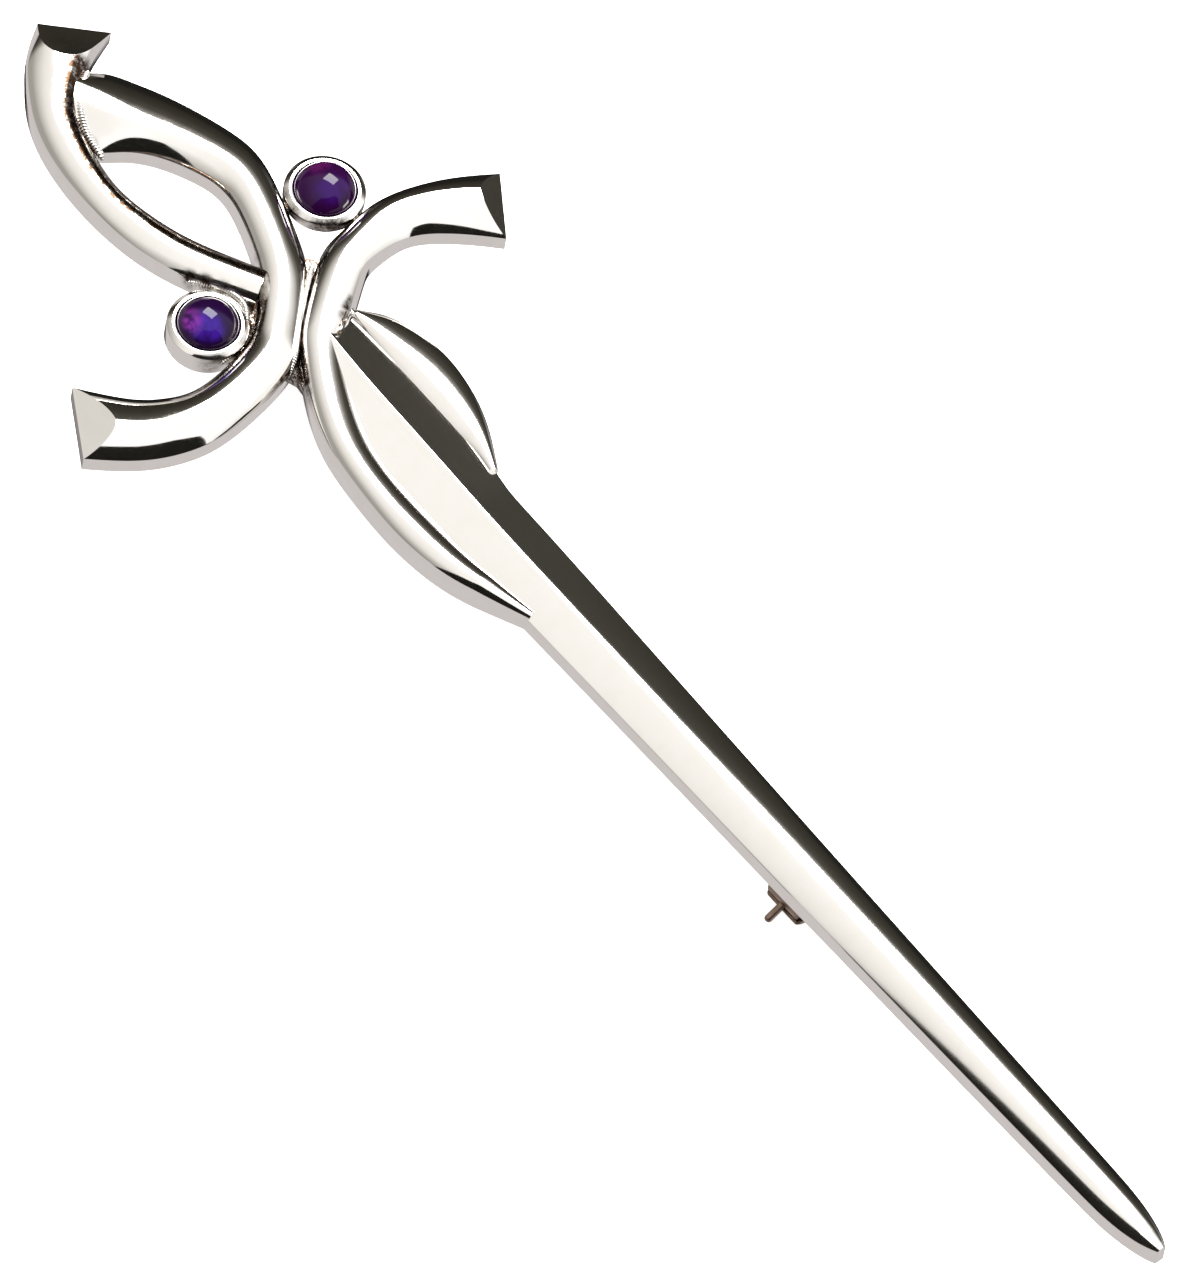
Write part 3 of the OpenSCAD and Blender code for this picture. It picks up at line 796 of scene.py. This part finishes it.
def paint(obj, name, values):
    """Stores a share from 0 to 1 for each point of the mesh."""
    layer = obj.data.attributes.new(name, "FLOAT", "POINT")
    layer.data.foreach_set("value", np.clip(values, 0, 1).astype(np.float32))


def near_spots(points, spots):
    """How strongly spots (x, y, z, reach, strength) cover each point, by the strongest of them."""
    cover = np.zeros(len(points))
    for x, y, z, reach, strength in spots:
        away = np.linalg.norm(points - np.array([x, y, z]), axis=1) / reach
        cover = np.maximum(cover, strength * SPOT_PEAK * np.exp(-away ** SPOT_POWER))
    return cover


def beside_edge(points, rows, side, wide, strength, first, last):
    """A stripe of this width along a band's right or left edge, between two shares of its length."""
    edge = edge_line(rows, side)
    away = np.linalg.norm(points[:, None, :2] - edge[None, :, :], axis=2)
    share = away.argmin(axis=1) / (len(edge) - 1)
    inside = np.clip(np.minimum(share - first, last - share) * STRIPE_ENDS + 0.5, 0, 1)
    raised = np.clip((points[:, 2] - STRIPE_FROM) / STRIPE_OVER, 0, 1)
    return strength * inside * raised * np.clip((wide - away.min(axis=1)) / STRIPE_SIDE + 0.5, 0, 1)


class Maths:
    """Builds a shader's sums from sockets and plain numbers."""

    def __init__(self, nodes, links):
        self.nodes, self.links = nodes, links

    def put(self, socket, value):
        """Links a socket, or sets a plain value on it."""
        if isinstance(value, bpy.types.NodeSocket):
            self.links.new(value, socket)
        else:
            socket.default_value = value

    def __call__(self, operation, *values):
        """One operation on sockets or plain numbers."""
        n = self.nodes.new("ShaderNodeMath")
        n.operation = operation
        for i, value in enumerate(values):
            self.put(n.inputs[i], value)
        return n.outputs[0]

    def dot(self, a, b):
        n = self.nodes.new("ShaderNodeVectorMath")
        n.operation = "DOT_PRODUCT"
        self.put(n.inputs[0], a)
        self.put(n.inputs[1], b)
        return n.outputs["Value"]

    def ease(self, value, low, high, to_low=0.0, to_high=1.0):
        """A smooth step from to_low at low to to_high at high."""
        n = self.nodes.new("ShaderNodeMapRange")
        n.interpolation_type = "SMOOTHSTEP"
        given = {"Value": value, "From Min": low, "From Max": high, "To Min": to_low, "To Max": to_high}
        for name, v in given.items():
            self.put(n.inputs[name], v)
        return n.outputs[0]

    def mix(self, factor, a, b, blend="MIX"):
        """A colour between a and b, or a times b where blend is MULTIPLY."""
        n = self.nodes.new("ShaderNodeMix")
        n.data_type = "RGBA"
        n.blend_type = blend
        self.put(n.inputs[0], factor)
        self.put(n.inputs[6], a)
        self.put(n.inputs[7], b)
        return n.outputs[2]

    def ramp(self, value, stops):
        """A colour from stops (share, colour)."""
        n = self.nodes.new("ShaderNodeValToRGB")
        n.color_ramp.interpolation = "LINEAR"
        elements = n.color_ramp.elements
        while len(elements) < len(stops):
            elements.new(0.5)
        for e, (at, colour) in zip(elements, stops):
            e.position = at
            e.color = colour
        self.put(n.inputs[0], value)
        return n.outputs[0]

    def place(self):
        """The object's own coordinates, in millimetres."""
        n = self.nodes.new("ShaderNodeVectorMath")
        n.operation = "SCALE"
        self.links.new(self.nodes.new("ShaderNodeTexCoord").outputs["Object"], n.inputs[0])
        n.inputs["Scale"].default_value = 1 / MM
        return n.outputs[0]

    def stretched(self, vector, factors):
        n = self.nodes.new("ShaderNodeVectorMath")
        n.operation = "MULTIPLY"
        self.links.new(vector, n.inputs[0])
        n.inputs[1].default_value = factors
        return n.outputs[0]

    def noise(self, vector, scale, detail=3.0, rough=0.5):
        n = self.nodes.new("ShaderNodeTexNoise")
        self.links.new(vector, n.inputs["Vector"])
        n.inputs["Scale"].default_value = scale
        n.inputs["Detail"].default_value = detail
        n.inputs["Roughness"].default_value = rough
        return n.outputs[0]

    def attribute(self, name):
        n = self.nodes.new("ShaderNodeAttribute")
        n.attribute_name = name
        return n.outputs["Fac"]

    def bump(self, height, distance_mm, normal=None):
        """Height 0 to 1 over this many millimetres."""
        n = self.nodes.new("ShaderNodeBump")
        n.inputs["Strength"].default_value = 1
        n.inputs["Distance"].default_value = distance_mm * MM
        self.links.new(height, n.inputs["Height"])
        if normal:
            self.links.new(normal, n.inputs["Normal"])
        return n.outputs[0]


def material(name):
    m = bpy.data.materials.new(name)
    m.use_nodes = True
    nodes = m.node_tree.nodes
    nodes.clear()
    out = nodes.new("ShaderNodeOutputMaterial")
    shader = nodes.new("ShaderNodeBsdfPrincipled")
    m.node_tree.links.new(shader.outputs[0], out.inputs[0])
    return m, nodes, m.node_tree.links, shader


SILVER = (0.935, 0.915, 0.885, 1)
BROWN = (0.045, 0.025, 0.014, 1)
# The metal's second tone as shares of its colour, how much rougher tarnish and painted shade are, and how
# thick they are at most
SHADE = (0.985, 0.975, 0.96, 1)
BROWN_ROUGH = 0.12
MOST_BROWN = 1.2
# How far clouds vary a stone's painted glow, and how much of the painted glow shows without them
CLOUD_GAIN, CLOUD_LEAST = 0.8, 0.35


def silver(name, colour=SILVER, rough=0.07, ripple=0.012, pitted=0.0, grain=0.0, wear=0.35,
           patch=2.2, least=0.8):
    """Metal with soft waves left by hand, fine pits or grain, and brown tarnish and painted shade where they
    are painted.
    """
    m, nodes, links, shader = material(name)
    maths = Maths(nodes, links)
    at = maths.place()
    patchy = maths.ease(maths.noise(at, patch, detail=5, rough=0.65), low=0.38, high=0.58)
    patchy = maths("ADD", maths("MULTIPLY", patchy, MOST_BROWN - least), least)
    fine = maths.noise(at, 7.0, detail=4, rough=0.7)
    speckle = maths.ease(fine, low=0.3, high=0.7, to_low=0.75, to_high=1.15)
    # The cover is brown tarnish and, on some spots and stripes, painted shade, as painted on each piece
    cover = maths("MULTIPLY", maths.attribute("tarnish"), patchy)
    cover = maths("MINIMUM", maths("MULTIPLY", cover, speckle), 1)
    tone = maths.ease(maths.noise(at, 0.8), low=0.3, high=0.7)
    shade = maths.mix(tone, colour, tuple(c * k for c, k in zip(colour, SHADE)))
    links.new(maths.mix(cover, shade, BROWN), shader.inputs["Base Color"])
    shader.inputs["Metallic"].default_value = 1
    broad = maths.noise(at, 1.6, detail=4)
    worn = maths.ease(broad, low=0.3, high=0.75, to_low=rough * (1 - wear / 2), to_high=rough * (1 + wear))
    links.new(maths("ADD", worn, maths("MULTIPLY", cover, BROWN_ROUGH)), shader.inputs["Roughness"])
    normal = maths.bump(maths.noise(at, 0.35, detail=1), ripple)
    if pitted:
        normal = maths.bump(maths.noise(at, 5.5, detail=5, rough=0.65), pitted, normal)
    if grain:
        brushed = maths.noise(maths.stretched(at, (1.2, 14, 14)), 2.0, detail=4, rough=0.7)
        normal = maths.bump(brushed, grain, normal)
    links.new(normal, shader.inputs["Normal"])
    return m


def glassy(name, deep, glow, rose):
    """Dark glass, deep in colour, with painted light that makes it glow and turn rosy where the stone is
    painted so.
    """
    m, nodes, links, shader = material(name)
    maths = Maths(nodes, links)
    cloud = maths.ease(maths.noise(maths.place(), 0.9, detail=5, rough=0.6), low=0.36, high=0.66)
    clouded = maths("ADD", maths("MULTIPLY", cloud, CLOUD_GAIN), CLOUD_LEAST)
    # Painted light: the stone's painted glow, varied by clouds
    lit = maths("MULTIPLY", maths.attribute("glow"), clouded)
    colour = maths.mix(maths("MINIMUM", lit, 1), deep, glow)
    painted_rosy = maths("MULTIPLY", maths.attribute("rose"), cloud)
    colour = maths.mix(painted_rosy, colour, rose)
    links.new(colour, shader.inputs["Base Color"])
    shader.inputs["Roughness"].default_value = 0.04
    shader.inputs["IOR"].default_value = 1.54
    shader.inputs["Specular IOR Level"].default_value = 0.2
    return m


polished = silver("polished_silver")
satin = silver("satin_silver", rough=0.125, ripple=0.001, grain=0.0005, wear=0.04)
solder = silver("silver_solder", rough=0.12, pitted=0.02, patch=4.0, least=0.6)
bead = silver("bead_silver", rough=0.12, ripple=0.004, patch=3.0, least=0.1)
dark_metal = silver("catch_metal", (0.42, 0.31, 0.24, 1), 0.3, pitted=0.01)
steel = silver("pin_steel", (0.62, 0.61, 0.6, 1), 0.2, grain=0.002)
violet = glassy("amethyst_zoned", (0.007, 0.001, 0.014, 1), (0.021, 0.005, 0.125, 1), (0.12, 0.014, 0.15, 1))
plum = glassy("amethyst_plum", (0.012, 0.001, 0.018, 1), (0.017, 0.002, 0.052, 1), (0.04, 0.003, 0.034, 1))

# Tarnish left round the joints, and painted shade where the blade's end meets the guard: x, y and z in the
# flat model's millimetres, reach and strength
TARNISH_AND_SHADE_SPOTS = [
    (-8.45, -3.6, 1.5, 0.5, 0.9), (-7.7, -2.95, 1.5, 0.5, 0.95), (-6.71, -2.3, 1.45, 0.5, 0.9),
    (-5.7, -1.8, 1.4, 0.5, 0.85), (-4.36, -2.49, 1.25, 0.6, 0.7), (-3.33, -3.98, 1.2, 0.6, 0.65),
    (-2.77, -6.03, 1.2, 0.8, 0.6), (-7.89, 1.72, 1.2, 0.45, 0.7), (-7.03, 1.09, 1.2, 0.45, 0.75),
    (-5.99, 0.45, 1.2, 0.45, 0.8), (-4.98, -0.23, 1.2, 0.45, 0.8), (-4.13, -1.25, 1.2, 0.45, 0.8),
    (-9.63, 5.07, 1.2, 0.5, 0.7), (-8.53, 4.63, 1.2, 0.6, 0.85), (-7.25, 4.2, 1.25, 0.7, 0.95),
    (-5.94, 3.58, 1.25, 0.7, 1.0), (-5.38, 2.88, 1.2, 0.6, 0.95), (-5.98, 6.46, 1.2, 0.6, 0.85),
    (-5.41, 5.04, 1.2, 0.6, 0.9), (-5.04, 4.1, 1.2, 0.6, 0.95), (-4.59, 3.25, 1.2, 0.6, 1.0),
    (-4.1, 2.35, 1.1, 0.45, 1.0), (-3.35, 1.35, 1.1, 0.42, 1.0), (-2.51, 0.33, 1.1, 0.42, 0.95),
    (-1.6, -0.7, 1.1, 0.42, 0.95), (-0.65, -1.62, 1.1, 0.42, 0.9), (0.3, -2.7, 1.0, 0.5, 0.9),
    (1.44, -2.7, 1.0, 0.5, 0.8), (-6.43, 5.69, 0.9, 1.2, 0.85), (-3.12, -6.3, 0.8, 0.9, 0.6),
    # These three spots on the guard's crown are painted shade for the dark of a flat facet, not tarnish
    (-0.83, 2.04, 1.7, 0.4, 1.0), (-1.16, 2.63, 1.75, 0.35, 1.0), (-1.44, 3.17, 1.8, 0.25, 0.8),
    (-20.9, 3.3, 1.3, 0.6, 0.7), (-19.6, -2.3, 1.3, 0.5, 0.5), (-14.2, -0.3, 1.2, 0.45, 0.35),
    (-12.6, 0.9, 1.2, 0.5, 0.35)]
# Dark stripes along edges, partly tarnish that the torch left and partly painted shade for the dark
# reflections of the bands' steep
# sides: table, edge, width in millimetres, strength, and the first and last share of the band's length
TARNISH_AND_SHADE_STRIPES = {
    # The horn's stripe is painted shade for the dark reflection of its steep inner slope, as well as tarnish
    "horn_band": [(HORN_ROWS, LEFT_EDGE, 1.2, 1.0, 0.16, 1.1)],
    "crescent_band": [
        (CRESCENT_ROWS, LEFT_EDGE, 0.3, 0.95, 0.36, 0.66),
        (CRESCENT_ROWS, RIGHT_EDGE, 0.55, 0.95, 0.56, 0.84)],
    "guard_band": [(GUARD_ROWS, RIGHT_EDGE, 0.3, 0.95, 0.1, 0.58)],
}
# How brown a whole piece is, by its kind or its name, and how little the spots show on a rope
BROWNED = {"solder": 1.0, "seam": 0.2, "seam_blade": 0.9, "catch": 0.45}
ON_ROPES = 0.12
WIRE_BROWN = 0.12
LEVER_BROWN = 0.35
METALS = {"blade": satin, "catch": dark_metal, "seam": bead, "solder": solder}

for obj in body:
    kind = obj.name.split("_")[0]
    points = flat_points(obj)
    covers = [near_spots(points, TARNISH_AND_SHADE_SPOTS) * (ON_ROPES if kind == "seam" else 1)]
    covers += [beside_edge(points, *stripe) for stripe in TARNISH_AND_SHADE_STRIPES.get(obj.name, [])]
    covers.append(np.full(len(points), BROWNED.get(obj.name, BROWNED.get(kind, 0.0))))
    obj.data.materials.append(METALS.get(kind, polished))
    # One attribute holds tarnish and painted shade together
    paint(obj, "tarnish", np.maximum.reduce(covers))
    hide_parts("sword_body")
    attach(obj, "brooch")

# Each stone's middle, material, and the spots of painted light where it glows and where it is rosy
GEMS = {
    "stone_left": (LEFT_CUP, violet, (-4.49, -5.72, 2.5, 1.15, 1.0), (-5.55, -6.03, 2.4, 0.75, 0.95)),
    "stone_right": (RIGHT_CUP, plum, (-7.62, 6.93, 2.6, 1.1, 0.9), (-9.48, 7.53, 2.6, 0.75, 0.8)),
}
# The share of a stone's radius where the painted glow ends, leaving the rim dark as painted shade from the
# cup's rim, and over how many millimetres
PAINTED_GLOW_END = 0.86
PAINTED_GLOW_OVER = 0.35
for name, obj in stones.items():
    centre, tint, glow, rose = GEMS[name]
    points = flat_points(obj)
    off_middle = np.linalg.norm(points[:, :2] - np.array(centre), axis=1)
    # The rim is left dark as painted shade
    inside = np.clip((PAINTED_GLOW_END * STONE_D / 2 - off_middle) / PAINTED_GLOW_OVER, 0, 1)
    obj.data.materials.append(tint)
    # Painted light inside each stone: a glow and a rosy patch
    paint(obj, "glow", near_spots(points, [glow]) * inside)
    paint(obj, "rose", near_spots(points, [rose]) * inside)
    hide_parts(name)
    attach(obj, "brooch")
wire.data.materials.append(steel)
paint(wire, "tarnish", np.full(len(wire.data.vertices), WIRE_BROWN))
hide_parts("pin_stem")
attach(wire, "brooch")
lever.data.materials.append(dark_metal)
paint(lever, "tarnish", np.full(len(lever.data.vertices), LEVER_BROWN))
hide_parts("catch_lever")
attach(lever, "lever")

# The floor, the camera and the light
FLOOR_R = 3
FLOOR_SIDES = 96
rim = [(cos(a) * FLOOR_R, sin(a) * FLOOR_R, 0) for a in round_angles(FLOOR_SIDES)]
floor = mesh_object("floor", rim, [tuple(range(FLOOR_SIDES))])
pale, _, _, shader = material("pale_floor")
shader.inputs["Base Color"].default_value = (0.86, 0.85, 0.845, 1)
shader.inputs["Roughness"].default_value = 0.9
shader.inputs["Emission Color"].default_value = (1, 1, 1, 1)
shader.inputs["Emission Strength"].default_value = 0.6
floor.data.materials.append(pale)
floor.visible_glossy = False

# The photo's right and down, as directions of the frame, and the millimetres that its height takes in
RIGHT = Vector((0.6359, 0.7641, 0.1089)).normalized()
DOWN = Vector((0.6859, -0.4947, -0.5336)).normalized()
FRAME_MM = 77.435
AIM = place(25.93, 0.0, 1.15)
FAR = 2.6
SENSOR = 36
cam = bpy.data.cameras.new("camera")
cam.sensor_width = SENSOR
cam.lens = SENSOR * FAR / (FRAME_MM * MM)
cam.clip_start = 0.05
cam.clip_end = 20
camera = bpy.data.objects.new("camera", cam)
back = RIGHT.cross(-DOWN)
turned = Matrix((RIGHT, -DOWN, back)).transposed().to_4x4()
camera.matrix_world = Matrix.Translation(AIM + back * FAR) @ turned
bpy.context.scene.collection.objects.link(camera)
bpy.context.scene.camera = camera

# Level directions of the studio: to the right of the photo and towards its camera
right_level = Vector((RIGHT.x, RIGHT.y, 0))
back_level = Vector((back.x, back.y, 0))
ASIDE = right_level - back_level * (right_level.dot(back_level) / back_level.length_squared)
ASIDE = ASIDE.normalized()
NEAR = back_level.normalized()


def warm(level, warmth=0.04):
    """A grey of this level, a little warmer than neutral."""
    return (level, level * (1 - warmth * 0.5), level * (1 - warmth * 1.6), 1)


world = bpy.data.worlds.new("studio")
bpy.context.scene.world = world
world.use_nodes = True
nodes, links = world.node_tree.nodes, world.node_tree.links
maths = Maths(nodes, links)
way = nodes.new("ShaderNodeTexCoord").outputs["Generated"]
aside = maths.dot(way, tuple(ASIDE))
near = maths.dot(way, tuple(NEAR))
rise = maths.dot(way, (0, 0, 1))
level = maths("SQRT", maths("ADD", maths("MULTIPLY", aside, aside), maths("MULTIPLY", near, near)))
from_top = maths("MULTIPLY", maths("ARCTAN2", level, rise), 180 / pi)
some_level = maths("MAXIMUM", level, 0.0001)
scale = maths("DIVIDE", from_top, some_level)
# Degrees from straight overhead, to the photo's right and towards its camera
u = maths("MULTIPLY", aside, scale)
v = maths("MULTIPLY", near, scale)

# Brightness from the left wall over the top to the right wall, with how warm it is, then from the dark
# room behind over the top to the front
REACH = 160
WALLS = [
    (-112, 0.36, 0.06), (-86, 0.38, 0.06), (-70, 0.38, 0.06), (-56, 0.64, 0.05), (-42, 0.88, 0.04),
    (-28, 1.0, 0.03), (-12, 1.06, 0.02), (0, 1.15, 0.0), (68, 1.15, 0.0), (90, 0.85, 0.03),
    (112, 0.7, 0.05)]
DEPTHS = [
    (-150, 0.014, 0.2), (-90, 0.02, 0.2), (-68, 0.035, 0.17), (-54, 0.06, 0.14), (-46, 0.2, 0.08),
    (-40, 0.62, 0.02), (-35, 1.0, 0.0), (34, 1.0, 0.0), (50, 0.8, 0.0), (66, 0.62, 0.0),
    (90, 0.55, 0.0)]
# How bright the floor is as it is mirrored, straight behind and elsewhere, its tint, and between which
# shares of the way back it turns dark
FLOOR_DARK, FLOOR_LIGHT = 0.015, 0.62
FLOOR_TINT = (1, 0.955, 0.96)
FLOOR_FROM, FLOOR_TO = -0.93, -0.7
# Degrees from overhead between which the room gives way to the floor
HORIZON_FROM, HORIZON_TO = 88, 93


def spread(value, stops):
    """A ramp over degrees from stops (degrees, level, warmth)."""
    share = maths("ADD", maths("DIVIDE", value, 2 * REACH), 0.5)
    return maths.ramp(share, [(at / 2 / REACH + 0.5, warm(tone, warmth)) for at, tone, warmth in stops])


walls = maths.mix(1, spread(u, WALLS), spread(v, DEPTHS), "MULTIPLY")
forward = maths("DIVIDE", near, some_level)
lit_floor = tuple(FLOOR_LIGHT * k for k in FLOOR_TINT) + (1,)
table = maths.mix(maths.ease(forward, FLOOR_FROM, FLOOR_TO), warm(FLOOR_DARK, 0.1), lit_floor)
room = maths.mix(maths.ease(from_top, HORIZON_FROM, HORIZON_TO), walls, table)

# The lamp: a box turned a little, whose bright face shows as a square in the stones
LAMP_U, LAMP_V, LAMP_LONG, LAMP_WIDE, LAMP_TURN = -1, -27, 19, 14, 30
LAMP_EDGE = 1.5
LAMP_POWER = 20
turn_cos, turn_sin = cos(radians(LAMP_TURN)), sin(radians(LAMP_TURN))
du, dv = maths("SUBTRACT", u, LAMP_U), maths("SUBTRACT", v, LAMP_V)
lamp_u = maths("ADD", maths("MULTIPLY", du, turn_cos), maths("MULTIPLY", dv, turn_sin))
lamp_v = maths("SUBTRACT", maths("MULTIPLY", dv, turn_cos), maths("MULTIPLY", du, turn_sin))
lamp_u, lamp_v = maths("ABSOLUTE", lamp_u), maths("ABSOLUTE", lamp_v)
lamp = maths(
    "MULTIPLY", maths.ease(lamp_u, LAMP_LONG - LAMP_EDGE, LAMP_LONG + LAMP_EDGE, 1, 0),
    maths.ease(lamp_v, LAMP_WIDE - LAMP_EDGE, LAMP_WIDE + LAMP_EDGE, 1, 0))
sky = maths.mix(lamp, room, warm(LAMP_POWER, 0.01))
# Lamp and room show as they are mirrored, while matt surfaces are lit evenly, as from a white tent
TENT = 1.9
matt = nodes.new("ShaderNodeLightPath").outputs["Is Diffuse Ray"]
links.new(maths.mix(matt, sky, warm(TENT, 0.01)), nodes["Background"].inputs[0])


# The card before the part: its distance towards the camera, and its corners aside and up, in millimetres
CARD_NEAR = 66
CARD_CORNERS = [(-58, 105), (9, 118), (64, 150), (112, 120), (112, 0.1), (-82, 0.1)]
CARD_COLOUR = (0.011, 0.01, 0.008, 1)


def card(name):
    """A dark upright card that is seen only in reflections."""
    middle = Vector((AIM.x, AIM.y, 0))
    verts = [middle + (ASIDE * a + NEAR * CARD_NEAR + Vector((0, 0, z))) * MM for a, z in CARD_CORNERS]
    obj = mesh_object(name, verts, [tuple(range(len(verts)))])
    m, nodes, links, shader = material(name)
    nodes.remove(shader)
    light = nodes.new("ShaderNodeEmission")
    light.inputs[0].default_value = CARD_COLOUR
    links.new(light.outputs[0], nodes["Material Output"].inputs[0])
    obj.data.materials.append(m)
    obj.visible_camera = False
    obj.visible_shadow = False
    obj.visible_diffuse = False
    obj.visible_transmission = False


card("front_card")
bpy.context.scene.view_settings.view_transform = "Standard"
